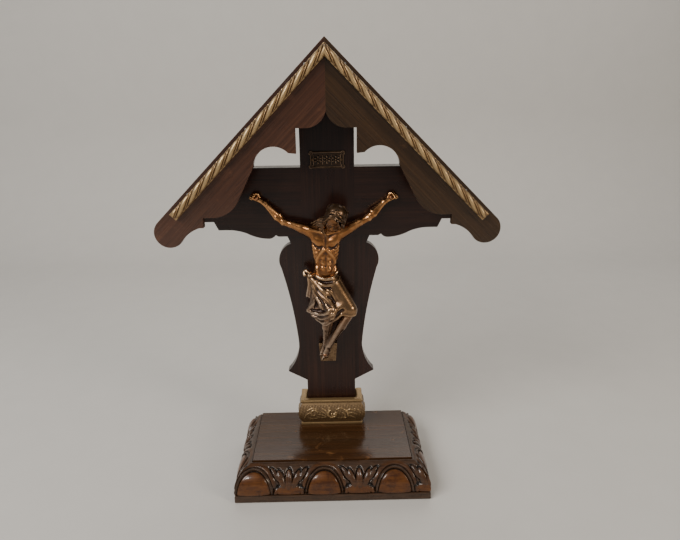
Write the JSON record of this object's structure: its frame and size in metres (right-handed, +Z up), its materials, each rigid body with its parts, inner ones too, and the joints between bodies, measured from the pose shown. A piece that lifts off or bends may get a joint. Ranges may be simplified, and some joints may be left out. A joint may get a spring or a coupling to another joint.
{
  "type": "altar cross",
  "caption": "Free-standing wooden altar cross on a carved stepped base, sheltered by a fretted gable roof with gilt rope moulding, with a cast figure.",
  "frame": {"origin": "middle of the base's footprint, on the surface the cross stands on", "axes": "+Z up, -Y the front that the figure faces, +X to the right as seen from the front"},
  "size_m": [0.2792, 0.091, 0.381],
  "materials": {
    "dark_wood": "near-black walnut stain, satin varnish",
    "roof_wood": "red-brown stain, gloss varnish with worn edges",
    "carved_wood": "amber glaze on the raised carving, dark in the hollows",
    "gilt_wood": "antique gold paint rubbed back to brown",
    "dowel_wood": "plain beech",
    "cast_bronze": "copper-bronze plating, darkened in the recesses",
    "dark_bronze": "dark bronze",
    "steel": "plain steel"
  },
  "bodies": {
    "root": {"base_board": "dark_wood", "base_moulding_front": "carved_wood", "base_moulding_left": "carved_wood", "base_moulding_right": "carved_wood", "moulding_pins": "steel", "post": "dark_wood", "cross_arm": "dark_wood", "wing_left": "dark_wood", "wing_right": "dark_wood", "wing_dowels": "dowel_wood", "post_screws": "steel", "collar_front": "gilt_wood", "collar_left": "gilt_wood", "collar_right": "gilt_wood", "collar_pins": "steel", "roof_board_left": "roof_wood", "roof_board_right": "roof_wood", "fascia_left": "roof_wood", "fascia_right": "roof_wood", "roof_pins": "steel", "fascia_pins": "steel", "rope_left": "gilt_wood", "rope_right": "gilt_wood", "corpus": "cast_bronze", "foot_block": "cast_bronze", "hand_nail_left": "cast_bronze", "hand_nail_right": "cast_bronze", "feet_nail": "cast_bronze", "title_plaque": "dark_bronze", "plaque_pins": "dark_bronze"}
  },
  "joints": []
}
